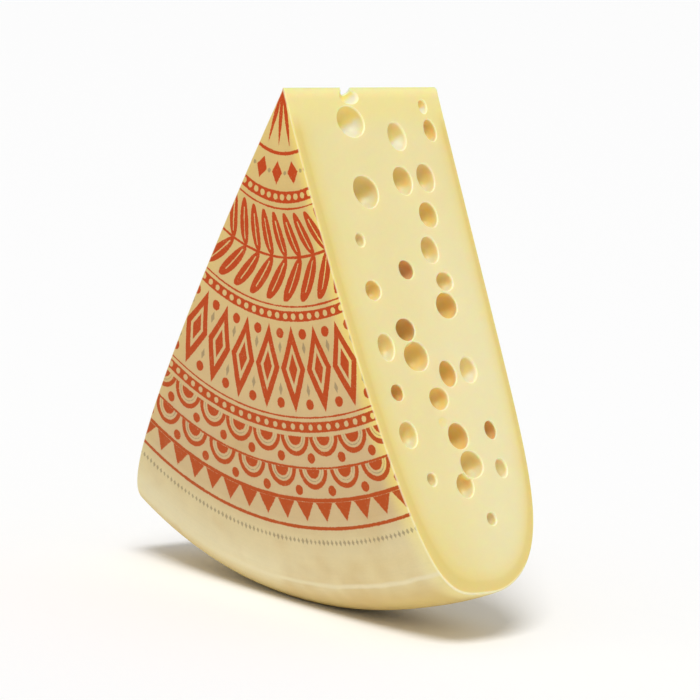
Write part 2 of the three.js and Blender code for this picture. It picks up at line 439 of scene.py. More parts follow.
def make_skinned_bubble(side, sunk, eye):
    """A bubble together with the skin that parts it from its neighbours."""
    down, across, height, width = eye
    scale = (height + width) / 4
    radius = scale / sqrt(1 - sunk**2)
    bpy.ops.mesh.primitive_uv_sphere_add(
        segments=SKIN_SIDES, ring_count=SKIN_SIDES // 2, radius=radius + SKIN
    )
    bubble = bpy.context.object
    stretch = Matrix.Diagonal((width / 2 / scale, height / 2 / scale, 1, 1))
    middle = Matrix.Translation((0, 0, -sunk * radius))
    bubble.data.transform(cut_frame(side, down, across) @ middle @ stretch)
    bubble.data.materials.append(wedge.data.materials[PASTE_SLOT])
    return bubble


def parted(side, sunk, eye, other_sunk, other):
    """True for bubbles that met as they grew but didn't grow into one."""
    centre, radius = bubble_of(side, sunk, eye)
    other_centre, other_radius = bubble_of(side, other_sunk, other)
    mouths = hypot(eye[0] - other[0], eye[1] - other[1])
    meet = (centre - other_centre).length < radius + other_radius + SKIN
    return meet and mouths > max(eye[2:] + other[2:]) / 2


def cut_away(thing, tool):
    """Cuts a closed shape out of a piece and removes the shape."""
    tool.select_set(False)
    bpy.context.view_layer.objects.active = thing
    cut = thing.modifiers.new("cut", "BOOLEAN")
    cut.operation = "DIFFERENCE"
    cut.solver = "MANIFOLD"
    cut.object = tool
    bpy.ops.object.modifier_apply(modifier=cut.name)
    bpy.data.objects.remove(tool)


right_eyes = [(sunk, mellow_and_shade, eye) for sunk, mellow_and_shade, eyes in RIGHT_CUT_EYES for eye in eyes]
left_eyes = left_cut_eyes([bubble_of(1, sunk, eye) for sunk, _, eye in right_eyes])
for side, eyes in ((1, right_eyes), (-1, left_eyes)):
    for number, (sunk, _, eye) in enumerate(eyes):
        bubble = make_bubble(side, sunk, eye)
        for other_sunk, _, other in eyes[:number]:
            if parted(side, sunk, eye, other_sunk, other):
                cut_away(bubble, make_skinned_bubble(side, other_sunk, other))
        cut_away(wedge, bubble)

# How mellow the walls of each eye are, partly their own colour and partly painted shade, from
# 0 for a pale dish to 1 for a closed, brown one, how deep in its eye each point lies, from 0
# at the mouth to 1 at the bottom, and how low, from -1 at its upper wall to 1 at its lower one.
corners = np.array([v.co for v in wedge.data.vertices])
mellow_and_shade_of_points = np.zeros(len(corners))
deepness = np.zeros(len(corners))
lowness = np.zeros(len(corners))
for side, eyes in ((1, right_eyes), (-1, left_eyes)):
    for sunk, mellow_and_shade, (down, across, height, width) in eyes:
        to_eye = np.array(cut_frame(side, down, across).inverted())
        x, y, z = (corners @ to_eye[:3, :3].T + to_eye[:3, 3]).T
        scale = (height + width) / 4
        radius = scale / sqrt(1 - sunk**2)
        out = np.sqrt(
            (x * 2 * scale / width) ** 2 + (y * 2 * scale / height) ** 2 + (z + sunk * radius) ** 2
        )
        inside = (out < radius + WALL_REACH) & (z < MOUTH_LEVEL)
        mellow_and_shade_of_points[inside] = mellow_and_shade
        deepness[inside] = np.clip(-z[inside] / (radius * (1 + sunk)), 0, 1)
        leaning = y * cos(LOW_WALL_LEAN) - side * x * sin(LOW_WALL_LEAN)
        lowness[inside] = np.clip(leaning[inside] / scale, -1, 1)
for name, values in (("mellow_and_shade", mellow_and_shade_of_points), ("deep", deepness), ("low", lowness)):
    wedge.data.attributes.new(name, "FLOAT", "POINT").data.foreach_set("value", values)


def is_flat(face):
    """True for a face of a cut, of the resting flat or of the blunted tip."""
    return abs(face.normal.z) > LEVEL_FACE or lies_on_cut(face, -1) or lies_on_cut(face, 1)


def is_sharp(edge):
    """True for an edge round a flat, and for one that folds a good way."""
    round_flat = sum(is_flat(face) for face in edge.link_faces) == 1
    return round_flat or edge.calc_face_angle() > SHARP_FOLD


bpy.ops.object.select_all(action="DESELECT")
wedge.select_set(True)
bpy.ops.object.shade_smooth()
bpy.ops.object.mode_set(mode="EDIT")
select_where("edges", is_sharp)
bpy.ops.mesh.mark_sharp()
bpy.ops.object.mode_set(mode="OBJECT")

# ---------------------------------------------------------------------------------------
# The paste. Curd pressed in the hoop and ripened for months: dense, smooth and a little
# oily where the knife went, golden and firmer next to the rind, glassy at the thin tip.
# Its colour also holds painted light: a glow at the tip, highlights on the knife edge and
# in the eyes, and shade in the eyes.
# ---------------------------------------------------------------------------------------
BULGE_SPAN = 0.020
GOLDEN_LAYER = 0.048
NEVER_ZERO = 1e-6


def tint(red, green, blue):
    """A colour by its screen numbers, from 0 to 255, as the share of light it sends back."""
    return (*(((c / 255 + 0.055) / 1.055) ** 2.4 for c in (red, green, blue)), 1)


def reckon(tree, operation, *terms):
    """A Math node's output; each term is a number or another node's output."""
    node = tree.nodes.new("ShaderNodeMath")
    node.operation = operation
    for socket, term in zip(node.inputs, terms):
        if isinstance(term, (int, float)):
            socket.default_value = term
        else:
            tree.links.new(term, socket)
    return node.outputs[0]


def length_of(tree, one, other):
    """How long a way is that has two legs square to each other."""
    return reckon(
        tree, "SQRT",
        reckon(
            tree, "ADD", reckon(tree, "MULTIPLY", one, one),
            reckon(tree, "MULTIPLY", other, other),
        ),
    )


def fade(tree, value, start, end):
    """Rises smoothly from 0 to 1 while a value goes from start to end."""
    node = tree.nodes.new("ShaderNodeMapRange")
    node.interpolation_type = "SMOOTHSTEP"
    node.inputs["From Min"].default_value = start
    node.inputs["From Max"].default_value = end
    tree.links.new(value, node.inputs["Value"])
    return node.outputs["Result"]


def laid_over(tree, under, over, share, way="MIX"):
    """One colour laid over another by a share; each colour is a tint or an output."""
    node = tree.nodes.new("ShaderNodeMix")
    node.data_type = "RGBA"
    node.blend_type = way
    for number, term in ((0, share), (6, under), (7, over)):
        if isinstance(term, (int, float, tuple)):
            node.inputs[number].default_value = term
        else:
            tree.links.new(term, node.inputs[number])
    return node.outputs[2]


def brightened(tree, colour, factor):
    """A colour made lighter or darker by a factor that changes over the surface."""
    grey = tree.nodes.new("ShaderNodeCombineColor")
    for socket in grey.inputs:
        tree.links.new(factor, socket)
    return laid_over(tree, colour, grey.outputs[0], 1.0, "MULTIPLY")


def raise_surface(tree, shader, rise, strength, distance):
    """Gives a surface a fine relief."""
    relief = tree.nodes.new("ShaderNodeBump")
    relief.inputs["Strength"].default_value = strength
    relief.inputs["Distance"].default_value = distance
    tree.links.new(rise, relief.inputs["Height"])
    tree.links.new(relief.outputs["Normal"], shader.inputs["Normal"])


def value_on_points(tree, name):
    """A value that the mesh's points carry."""
    node = tree.nodes.new("ShaderNodeAttribute")
    node.attribute_name = name
    return node.outputs["Fac"]


def graded(tree, value, length, stops):
    """Colours along a length, by stops of (place in the length, tint)."""
    node = tree.nodes.new("ShaderNodeValToRGB")
    tree.links.new(reckon(tree, "DIVIDE", value, length), node.inputs["Fac"])
    ramp = node.color_ramp
    while len(ramp.elements) < len(stops):
        ramp.elements.new(0.5)
    for element, (place, colour) in zip(ramp.elements, stops):
        element.position = place / length
        element.color = colour
    return node.outputs["Color"]


def new_group(name, inputs, outputs):
    """A node group with vector and float inputs and float outputs, and its two ends."""
    tree = bpy.data.node_groups.new(name, "ShaderNodeTree")
    for label, kind in inputs:
        tree.interface.new_socket(label, in_out="INPUT", socket_type=kind)
    for label in outputs:
        tree.interface.new_socket(label, in_out="OUTPUT", socket_type="NodeSocketFloat")
    return tree, tree.nodes.new("NodeGroupInput"), tree.nodes.new("NodeGroupOutput")


def placed(tree, group, **values):
    """A group in a material; each value is a number or an output."""
    node = tree.nodes.new("ShaderNodeGroup")
    node.node_tree = group
    for label, term in values.items():
        socket = node.inputs[label.replace("_", " ")]
        if isinstance(term, (int, float)):
            socket.default_value = term
        else:
            tree.links.new(term, socket)
    return node.outputs


wheel_place, ins, outs = new_group(
    "place in the wheel",
    [("Point", "NodeSocketVector")],
    ["From Axis", "Angle", "Across", "Under Rind", "Under Cut"],
)
split = wheel_place.nodes.new("ShaderNodeSeparateXYZ")
wheel_place.links.new(ins.outputs["Point"], split.inputs[0])
below_tip = reckon(wheel_place, "SUBTRACT", TIP.z, split.outputs["Z"])
away = length_of(wheel_place, split.outputs["X"], below_tip)
across = reckon(wheel_place, "SUBTRACT", split.outputs["Y"], BULGE_OFFSET)
off_bulge = reckon(wheel_place, "ABSOLUTE", across)
share_out = reckon(wheel_place, "MINIMUM", reckon(wheel_place, "DIVIDE", away, WHEEL_RADIUS), 1)

# Under each face, the way to the rind is the height of the triangle that the way straight to
# the face makes with the way straight to the rim.
under_faces = []
for side in (-1, 1):
    power_r, power_y, depth = face_form(side)
    full = reckon(wheel_place, "SUBTRACT", 1, reckon(wheel_place, "POWER", share_out, power_r))
    face_at = reckon(
        wheel_place, "MULTIPLY", depth, reckon(wheel_place, "POWER", full, 1 / power_y)
    )
    share_up = reckon(wheel_place, "MINIMUM", reckon(wheel_place, "DIVIDE", off_bulge, depth), 1)
    full = reckon(wheel_place, "SUBTRACT", 1, reckon(wheel_place, "POWER", share_up, power_y))
    rim_at = reckon(
        wheel_place, "MULTIPLY", WHEEL_RADIUS, reckon(wheel_place, "POWER", full, 1 / power_r)
    )
    to_face = reckon(wheel_place, "MAXIMUM", reckon(wheel_place, "SUBTRACT", face_at, off_bulge), 0)
    to_rim = reckon(wheel_place, "MAXIMUM", reckon(wheel_place, "SUBTRACT", rim_at, away), 0)
    slope = reckon(wheel_place, "ADD", length_of(wheel_place, to_face, to_rim), NEVER_ZERO)
    under_faces.append(
        reckon(wheel_place, "DIVIDE", reckon(wheel_place, "MULTIPLY", to_face, to_rim), slope)
    )
under_domed, under_lying = under_faces
under_rind = reckon(
    wheel_place, "ADD", under_domed,
    reckon(
        wheel_place, "MULTIPLY", reckon(wheel_place, "GREATER_THAN", across, 0),
        reckon(wheel_place, "SUBTRACT", under_lying, under_domed),
    ),
)
under_cut = reckon(
    wheel_place, "SUBTRACT",
    reckon(wheel_place, "MULTIPLY", below_tip, sin(HALF_ANGLE)),
    reckon(
        wheel_place, "MULTIPLY", reckon(wheel_place, "ABSOLUTE", split.outputs["X"]),
        cos(HALF_ANGLE),
    ),
)
angle = reckon(wheel_place, "ARCTAN2", split.outputs["X"], below_tip)
for label, result in (
    ("From Axis", away), ("Angle", angle), ("Across", across),
    ("Under Rind", under_rind), ("Under Cut", under_cut),
):
    wheel_place.links.new(result, outs.inputs[label])

uneven, ins, outs = new_group(
    "uneven",
    [("Point", "NodeSocketVector"), ("Size", "NodeSocketFloat"), ("Detail", "NodeSocketFloat")],
    ["Rise"],
)
noise = uneven.nodes.new("ShaderNodeTexNoise")
uneven.links.new(ins.outputs["Point"], noise.inputs["Vector"])
uneven.links.new(reckon(uneven, "DIVIDE", 1, ins.outputs["Size"]), noise.inputs["Scale"])
uneven.links.new(ins.outputs["Detail"], noise.inputs["Detail"])
uneven.links.new(reckon(uneven, "SUBTRACT", noise.outputs["Fac"], 0.5), outs.inputs["Rise"])

paste = wedge.data.materials[PASTE_SLOT]
paste.use_nodes = True
tree = paste.node_tree
body = tree.nodes["Principled BSDF"]
point = tree.nodes.new("ShaderNodeTexCoord").outputs["Object"]
place = placed(tree, wheel_place, Point=point)

# The golden layer is thickest under the rim and thinnest under the face the wheel lay on.
toward_lying = fade(tree, place["Across"], -BULGE_SPAN, 2 * BULGE_SPAN)
toward_rim = fade(tree, place["From Axis"], 0.36, 0.43)
layer = reckon(tree, "SUBTRACT", 1, reckon(tree, "MULTIPLY", toward_lying, 0.28))
layer = reckon(tree, "ADD", layer, reckon(tree, "MULTIPLY", toward_rim, 0.35))
aged = placed(tree, uneven, Point=point, Size=0.03, Detail=2.0)["Rise"]
layer = reckon(tree, "ADD", layer, reckon(tree, "MULTIPLY", aged, 0.25))
depth_in_layer = reckon(tree, "DIVIDE", place["Under Rind"], layer)
colour = graded(tree, depth_in_layer, GOLDEN_LAYER, (
    (0.0000, tint(230, 214, 146)),
    (0.0020, tint(226, 207, 132)),
    (0.0074, tint(226, 206, 128)),
    (0.0098, tint(231, 213, 139)),
    (0.0150, tint(233, 218, 151)),
    (0.0250, tint(234, 221, 161)),
    (GOLDEN_LAYER, tint(235, 222, 165)),
))

# Inside it the paste is milkier toward the face that the wheel lay on. A highlight is
# painted as a pale line along the knife edge at the rim, and light is painted glowing
# through the thin tip.
milky = reckon(
    tree, "MULTIPLY", fade(tree, place["Across"], -0.040, 0.035),
    fade(tree, place["From Axis"], 0.0, 0.26),
)
milky = reckon(tree, "MULTIPLY", milky, fade(tree, place["Under Rind"], 0.002, 0.022))
colour = laid_over(tree, colour, tint(237, 227, 180), reckon(tree, "MULTIPLY", milky, 0.8))
rim_edge_highlight = reckon(
    tree, "MULTIPLY", fade(tree, place["From Axis"], 0.424, 0.444),
    reckon(tree, "SUBTRACT", 1, fade(tree, place["Under Rind"], 0.0006, 0.0024)),
)
colour = laid_over(tree, colour, tint(247, 240, 203), rim_edge_highlight)
for near, far, glow in (
    (0.018, 0.044, tint(237, 224, 156)), (0.0030, 0.0120, tint(252, 231, 168)),
):
    painted_tip_glow = reckon(tree, "SUBTRACT", 1, fade(tree, place["From Axis"], near, far))
    colour = laid_over(tree, colour, glow, painted_tip_glow)

# Inside the eyes the paste is moist and deeper in colour, partly its own and partly painted
# shade. Their lips are painted pale as a highlight, and so are the lower walls of the open
# ones, a painted highlight where the light falls.
mellow_and_shade, deep, low = (value_on_points(tree, name) for name in ("mellow_and_shade", "deep", "low"))
# Wall colours by mellowness: partly the paste's own, partly painted shade, brownest in closed eyes.
wall = graded(tree, mellow_and_shade, 1.0, (
    (0.00, tint(237, 224, 160)),
    (0.13, tint(250, 233, 144)),
    (0.28, tint(231, 208, 136)),
    (0.40, tint(237, 211, 136)),
    (0.45, tint(223, 200, 137)),
    (0.50, tint(240, 212, 132)),
    (0.72, tint(243, 212, 134)),
    (0.95, tint(238, 196, 142)),
))
closed = fade(tree, mellow_and_shade, 0.45, 0.95)
# Painted shade: the upper walls, turned from the light, are laid over with gold.
shaded_upper_wall = reckon(tree, "SUBTRACT", 1, fade(tree, low, -0.55, 0.10))
wall = laid_over(tree, wall, tint(250, 223, 146), reckon(tree, "MULTIPLY", shaded_upper_wall, 0.45))
# Painted highlight: the lower walls of the open eyes, where the light falls, turn pale cream.
lit_lower_from = reckon(tree, "MAXIMUM", reckon(tree, "MULTIPLY_ADD", mellow_and_shade, 2.9, -0.72), 0)
lit_lower_wall = fade(tree, reckon(tree, "SUBTRACT", low, lit_lower_from), -0.05, 0.40)
lit_lower_wall = reckon(tree, "MULTIPLY", lit_lower_wall, reckon(tree, "SUBTRACT", 1, closed))
lit_lower_wall = reckon(tree, "MULTIPLY", lit_lower_wall, fade(tree, mellow_and_shade, 0.02, 0.10))
lit_wall_cream = laid_over(tree, tint(232, 227, 199), tint(229, 221, 179), fade(tree, mellow_and_shade, 0.22, 0.38))
wall = laid_over(tree, wall, lit_wall_cream, lit_lower_wall)
# Painted shade: the wall colour is laid in more the deeper a point lies in its eye.
gone_deep = reckon(tree, "MULTIPLY", deep, reckon(tree, "MULTIPLY_ADD", closed, 0.5, 1.0))
walls_there = reckon(
    tree, "MULTIPLY", fade(tree, gone_deep, 0.02, 0.50),
    fade(tree, place["Under Cut"], 0.00002, 0.0005),
)
colour = laid_over(tree, colour, wall, walls_there)
in_eye = fade(tree, place["Under Cut"], 0.0008, 0.0075)
# Painted highlight: a pale ring on each eye's rounded lip.
lip_highlight = reckon(
    tree, "MULTIPLY", fade(tree, mellow_and_shade, 0.0, 0.10),
    reckon(
        tree, "MULTIPLY", fade(tree, place["Under Cut"], 0.00002, 0.0002),
        reckon(tree, "SUBTRACT", 1, fade(tree, place["Under Cut"], 0.0008, 0.0026)),
    ),
)
lip_highlight = reckon(tree, "MULTIPLY", lip_highlight, reckon(tree, "MULTIPLY_ADD", closed, -0.5, 1.0))
colour = laid_over(tree, colour, tint(253, 242, 210), reckon(tree, "MULTIPLY", lip_highlight, 0.75))

cloudy = placed(tree, uneven, Point=point, Size=0.035, Detail=3.0)["Rise"]
grain = placed(tree, uneven, Point=point, Size=0.0016, Detail=2.0)["Rise"]
shift = reckon(
    tree, "ADD", 1,
    reckon(
        tree, "ADD", reckon(tree, "MULTIPLY", cloudy, 0.035),
        reckon(tree, "MULTIPLY", grain, 0.03),
    ),
)
tree.links.new(brightened(tree, colour, shift), body.inputs["Base Color"])

roughness = reckon(tree, "SUBTRACT", 0.50, reckon(tree, "MULTIPLY", in_eye, 0.14))
roughness = reckon(tree, "ADD", roughness, reckon(tree, "MULTIPLY", cloudy, 0.10))
tree.links.new(roughness, body.inputs["Roughness"])
raise_surface(tree, body, grain, 0.5, 0.0002)
body.inputs["Subsurface Weight"].default_value = 1.0
body.inputs["Subsurface Radius"].default_value = (1.0, 0.55, 0.18)
body.inputs["Subsurface Scale"].default_value = 0.009
body.inputs["IOR"].default_value = 1.44
body.inputs["Specular IOR Level"].default_value = 0.4

# ---------------------------------------------------------------------------------------
# The rind. The wheel's skin, pressed in cloth, washed with brine and brushed: thin, dry
# and closed, tanned where it was handled, paler round the shoulder of the rim. Its colour
# also holds painted light: highlights along the shoulders and the knife edge, and a glow
# beside the cuts.
# ---------------------------------------------------------------------------------------
PRINT_EDGE = 0.378
INK_EDGE = 0.0003
SHOULDER_LINE = 0.4275
BRUSH_PITCH = 0.0022
CLOTH_PITCH = 0.0026
LOZENGE_SLOPE = 0.45
# The print's plain rings, each by its inner and outer edge.
RINGS = (
    (0.0545, 0.0575), (0.1020, 0.1035), (0.1850, 0.1865), (0.2795, 0.2810), (0.3225, 0.3245),
    (0.3495, 0.3530), (0.3740, 0.3770),
)
# Each beaded band: its inner and outer edge, and how many beads go round the wheel.
BEADED_BANDS = ((0.0880, 0.0980, 72), (0.1895, 0.1985, 126), (0.2840, 0.2930, 168))
BEAD = 0.0026


def smaller(tree, *terms):
    """The smallest of several outputs: a point of any of the shapes."""
    result = terms[0]
    for term in terms[1:]:
        result = reckon(tree, "MINIMUM", result, term)
    return result


def larger(tree, *terms):
    """The largest of several outputs: a point of all the shapes."""
    result = terms[0]
    for term in terms[1:]:
        result = reckon(tree, "MAXIMUM", result, term)
    return result


def off_by(tree, value, middle):
    """How far a value lies from a middle one, either way."""
    return reckon(tree, "ABSOLUTE", reckon(tree, "SUBTRACT", value, middle))


def along_ring(tree, angle, away, count, shift=0.0):
    """How far round its ring the nearest of a count of like motifs lies."""
    turn = reckon(tree, "MULTIPLY_ADD", angle, count / (2 * pi), shift + 0.5)
    part = off_by(tree, reckon(tree, "FRACT", turn), 0.5)
    return reckon(tree, "MULTIPLY", part, reckon(tree, "MULTIPLY", away, 2 * pi / count))


def half_pitch(tree, away, count, share=1.0):
    """A share of half the way from one of a count of like motifs to the next."""
    return reckon(tree, "MULTIPLY", reckon(tree, "MULTIPLY", away, pi / count), share)


def ring(tree, away, inner, outer):
    """Signed distance to a ring: less than 0 on it."""
    off = off_by(tree, away, (inner + outer) / 2)
    return reckon(tree, "SUBTRACT", off, (outer - inner) / 2)


def lozenge(tree, beside, above, half_width, half_height, size=1.0):
    """Signed distance, nearly, to a lozenge at a size from 0 to 1, from its middle."""
    reach = reckon(
        tree, "ADD", reckon(tree, "DIVIDE", beside, half_width),
        reckon(tree, "DIVIDE", above, half_height),
    )
    past = reckon(tree, "SUBTRACT", reach, size)
    return reckon(tree, "MULTIPLY", past, half_height * LOZENGE_SLOPE)


def disc(tree, beside, above, radius):
    """Signed distance to a disc."""
    return reckon(tree, "SUBTRACT", length_of(tree, beside, above), radius)


# The stamped ornament: rings of rays, lozenges, leaves, scallops and teeth round the axis,
# in a red and a thin grey ink.
ornament, ins, outs = new_group(
    "stamped ornament",
    [
        ("From Axis", "NodeSocketFloat"), ("Angle", "NodeSocketFloat"),
        ("Uneven Edge", "NodeSocketFloat"),
    ],
    ["Ink", "Grey Ink"],
)
away, angle = ins.outputs["From Axis"], ins.outputs["Angle"]

# Rays round a hub, and beyond them small lozenges with grey dots between.
RAY_COUNT = 24
RAY_FILL = 0.86
RAY_LENGTH = 0.034
RAYS_END = 0.050
HUB = 0.015
SMALL_LOZENGES_AT = 0.0725
SMALL_LOZENGE = (0.0062, 0.0100)
GREY_DOT = 0.0017
beside = along_ring(ornament, angle, away, RAY_COUNT)
narrowing = reckon(
    ornament, "MULTIPLY_ADD", away, -RAY_FILL / RAY_LENGTH, RAY_FILL * RAYS_END / RAY_LENGTH
)
half_ray = reckon(ornament, "MULTIPLY", half_pitch(ornament, away, RAY_COUNT), narrowing)
rays = larger(
    ornament, reckon(ornament, "SUBTRACT", beside, half_ray),
    reckon(ornament, "SUBTRACT", away, RAYS_END),
)
shapes = [rays, reckon(ornament, "SUBTRACT", away, HUB)]
above = off_by(ornament, away, SMALL_LOZENGES_AT)
shapes.append(lozenge(ornament, beside, above, *SMALL_LOZENGE))
beside = along_ring(ornament, angle, away, RAY_COUNT, 0.5)
greys = [disc(ornament, beside, above, GREY_DOT)]

for inner, outer, count in BEADED_BANDS:
    beside = along_ring(ornament, angle, away, count)
    above = reckon(ornament, "SUBTRACT", away, (inner + outer) / 2)
    bead = disc(ornament, beside, above, BEAD)
    band = ring(ornament, away, inner, outer)
    shapes.append(larger(ornament, band, reckon(ornament, "MULTIPLY", bead, -1)))

# A stem all round, and veined leaves that lean from it to both sides.
LEAF_COUNT = 54
LEAVES_AT = 0.144
LEAF_LEAN = 3.4
LEAF_LENGTH = 0.038
LEAF_END = 0.0375
LEAF_FILL = 0.74
VEIN_FROM, VEIN_TO = 0.005, 0.030
HALF_VEIN = 0.0006
HALF_STEM = 0.0012
above = off_by(ornament, away, LEAVES_AT)
leaning = reckon(ornament, "MULTIPLY_ADD", above, LEAF_LEAN, angle)
beside = along_ring(ornament, leaning, away, LEAF_COUNT)
up_leaf = reckon(ornament, "MINIMUM", reckon(ornament, "DIVIDE", above, LEAF_LENGTH), 1)
belly = reckon(
    ornament, "SQRT",
    reckon(
        ornament, "MULTIPLY", reckon(ornament, "MULTIPLY", up_leaf, 4),
        reckon(ornament, "SUBTRACT", 1, up_leaf),
    ),
)
half_leaf = half_pitch(ornament, away, LEAF_COUNT, LEAF_FILL)
leaves = reckon(ornament, "SUBTRACT", beside, reckon(ornament, "MULTIPLY", half_leaf, belly))
vein = larger(
    ornament, reckon(ornament, "SUBTRACT", beside, HALF_VEIN),
    reckon(ornament, "SUBTRACT", VEIN_FROM, above), reckon(ornament, "SUBTRACT", above, VEIN_TO),
)
leaves = larger(
    ornament, leaves, reckon(ornament, "SUBTRACT", above, LEAF_END),
    reckon(ornament, "MULTIPLY", vein, -1),
)
shapes += [leaves, reckon(ornament, "SUBTRACT", above, HALF_STEM)]

# Hollow lozenges with a heart, and between them red spots and small grey lozenges.
LOZENGE_COUNT = 48
LOZENGES_AT = 0.239
LOZENGE_FILL = 0.94
LOZENGE_HEIGHT = 0.037
HOLLOW, HEART = 0.58, 0.36
SPOTS_AT, SPOT = 0.0300, 0.0046
GREYS_AT, GREY_LOZENGE = 0.0180, (0.0022, 0.0055)
above = off_by(ornament, away, LOZENGES_AT)
beside = along_ring(ornament, angle, away, LOZENGE_COUNT)
half = half_pitch(ornament, away, LOZENGE_COUNT, LOZENGE_FILL)
whole, hollow, heart = (
    lozenge(ornament, beside, above, half, LOZENGE_HEIGHT, size) for size in (1.0, HOLLOW, HEART)
)
shapes += [larger(ornament, whole, reckon(ornament, "MULTIPLY", hollow, -1)), heart]
beside = along_ring(ornament, angle, away, LOZENGE_COUNT, 0.5)
shapes.append(disc(ornament, beside, off_by(ornament, above, SPOTS_AT), SPOT))
greys.append(lozenge(ornament, beside, off_by(ornament, above, GREYS_AT), *GREY_LOZENGE))

# Two rows of scallops: a red arch with a grey hairline and a heart in it, and spots between.
SCALLOP_COUNT = 54
SCALLOP_ROWS = ((0.2965, 0.0), (0.3245, 0.5))
ARCH, HALF_ARCH = 0.0150, 0.0022
HAIRLINE, HALF_HAIRLINE = 0.0103, 0.0003
SCALLOP_HEART = 0.0078
SCALLOP_SPOTS_AT, SCALLOP_SPOT = 0.0185, 0.0045
for base, shift in SCALLOP_ROWS:
    beside = along_ring(ornament, angle, away, SCALLOP_COUNT, shift)
    above = reckon(ornament, "SUBTRACT", away, base)
    below = reckon(ornament, "MULTIPLY", above, -1)
    for marks, radius, half in ((shapes, ARCH, HALF_ARCH), (greys, HAIRLINE, HALF_HAIRLINE)):
        off = reckon(ornament, "ABSOLUTE", disc(ornament, beside, above, radius))
        marks.append(larger(ornament, reckon(ornament, "SUBTRACT", off, half), below))
    shapes.append(larger(ornament, disc(ornament, beside, above, SCALLOP_HEART), below))
    beside = along_ring(ornament, angle, away, SCALLOP_COUNT, shift + 0.5)
    past = reckon(ornament, "SUBTRACT", above, SCALLOP_SPOTS_AT)
    shapes.append(disc(ornament, beside, past, SCALLOP_SPOT))

# Teeth on a ring, the plain rings, and a row of small grey lozenges in the border.
TOOTH_COUNT = 96
TEETH_AT = 0.3530
TOOTH_FILL = 0.9
TOOTH_HEIGHT = 0.0165
BORDER_COUNT = 480
BORDER_AT = 0.3880
BORDER_LOZENGE = (0.0017, 0.0026)
beside = along_ring(ornament, angle, away, TOOTH_COUNT)
above = reckon(ornament, "SUBTRACT", away, TEETH_AT)
half = half_pitch(ornament, away, TOOTH_COUNT, TOOTH_FILL)
teeth = larger(
    ornament, lozenge(ornament, beside, above, half, TOOTH_HEIGHT),
    reckon(ornament, "MULTIPLY", above, -1),
)
shapes += [teeth, *(ring(ornament, away, inner, outer) for inner, outer in RINGS)]
beside = along_ring(ornament, angle, away, BORDER_COUNT)
above = off_by(ornament, away, BORDER_AT)
greys.append(lozenge(ornament, beside, above, *BORDER_LOZENGE))

for label, marks in (("Ink", shapes), ("Grey Ink", greys)):
    nearest = reckon(ornament, "ADD", smaller(ornament, *marks), ins.outputs["Uneven Edge"])
    ink = ornament.nodes.new("ShaderNodeMapRange")
    ornament.links.new(nearest, ink.inputs["Value"])
    ink.inputs["From Min"].default_value = INK_EDGE
    ink.inputs["From Max"].default_value = -INK_EDGE
    ornament.links.new(ink.outputs["Result"], outs.inputs[label])

rind = wedge.data.materials[RIND_SLOT]
rind.use_nodes = True
tree = rind.node_tree
skin = tree.nodes["Principled BSDF"]
point = tree.nodes.new("ShaderNodeTexCoord").outputs["Object"]
place = placed(tree, wheel_place, Point=point)
away, angle = place["From Axis"], place["Angle"]
domed_side = reckon(tree, "SUBTRACT", 1, fade(tree, place["Across"], -0.020, 0.010))
blotches = placed(tree, uneven, Point=point, Size=0.070, Detail=3.0)["Rise"]
cloudy = placed(tree, uneven, Point=point, Size=0.016, Detail=3.0)["Rise"]
pores = placed(tree, uneven, Point=point, Size=0.0014, Detail=2.0)["Rise"]

colour = graded(tree, away, WHEEL_RADIUS, (
    (0.000, tint(224, 194, 122)),
    (0.060, tint(222, 192, 124)),
    (0.120, tint(215, 182, 119)),
    (0.160, tint(219, 189, 126)),
    (0.240, tint(216, 186, 131)),
    (0.320, tint(211, 181, 134)),
    (0.368, tint(211, 184, 137)),
    (0.384, tint(221, 202, 154)),
    (0.402, tint(228, 212, 166)),
    (0.418, tint(235, 222, 180)),
    (0.430, tint(237, 224, 180)),
    (0.438, tint(225, 204, 150)),
    (0.446, tint(216, 190, 118)),
))
lying = graded(tree, away, WHEEL_RADIUS, (
    (0.000, tint(221, 202, 150)),
    (0.200, tint(219, 200, 152)),
    (0.400, tint(222, 205, 158)),
    (0.430, tint(234, 220, 176)),
    (0.438, tint(225, 204, 150)),
    (0.446, tint(216, 190, 118)),
))
colour = laid_over(tree, lying, colour, domed_side)

# Tan where hands and shelves rubbed it, and fine rings where the brush went round.
colour = laid_over(
    tree, colour, tint(204, 170, 112),
    reckon(tree, "MULTIPLY", fade(tree, blotches, 0.02, 0.24), 0.45),
)
brushed = tree.nodes.new("ShaderNodeCombineXYZ")
tree.links.new(reckon(tree, "MULTIPLY", away, 1 / BRUSH_PITCH), brushed.inputs["X"])
tree.links.new(reckon(tree, "MULTIPLY", angle, 5.0), brushed.inputs["Y"])
strokes = placed(tree, uneven, Point=brushed.outputs[0], Size=1.0, Detail=2.0)["Rise"]

# The hoop's cloth leaves hairlines across the rim. A highlight is painted as a pale line
# along both its shoulders.
threads = 2 * pi * WHEEL_RADIUS / CLOTH_PITCH
hairs = reckon(tree, "SINE", reckon(tree, "MULTIPLY", angle, threads))
on_rim = fade(tree, away, 0.426, 0.438)
hairs = reckon(
    tree, "MULTIPLY", reckon(tree, "MULTIPLY", hairs, on_rim),
    reckon(tree, "ADD", 0.5, cloudy),
)
wavering = reckon(tree, "MULTIPLY_ADD", blotches, 0.008, away)
off_line = off_by(tree, wavering, SHOULDER_LINE)
shoulder_highlight = reckon(tree, "SUBTRACT", 1, fade(tree, off_line, 0.0005, 0.0030))
lying_side = reckon(tree, "SUBTRACT", 1, domed_side)
shoulder_highlight_there = reckon(
    tree, "ADD", reckon(tree, "MULTIPLY", domed_side, fade(tree, angle, -0.36, 0.05)),
    reckon(tree, "MULTIPLY", lying_side, 0.5),
)
shoulder_highlight = reckon(tree, "MULTIPLY", shoulder_highlight, shoulder_highlight_there)

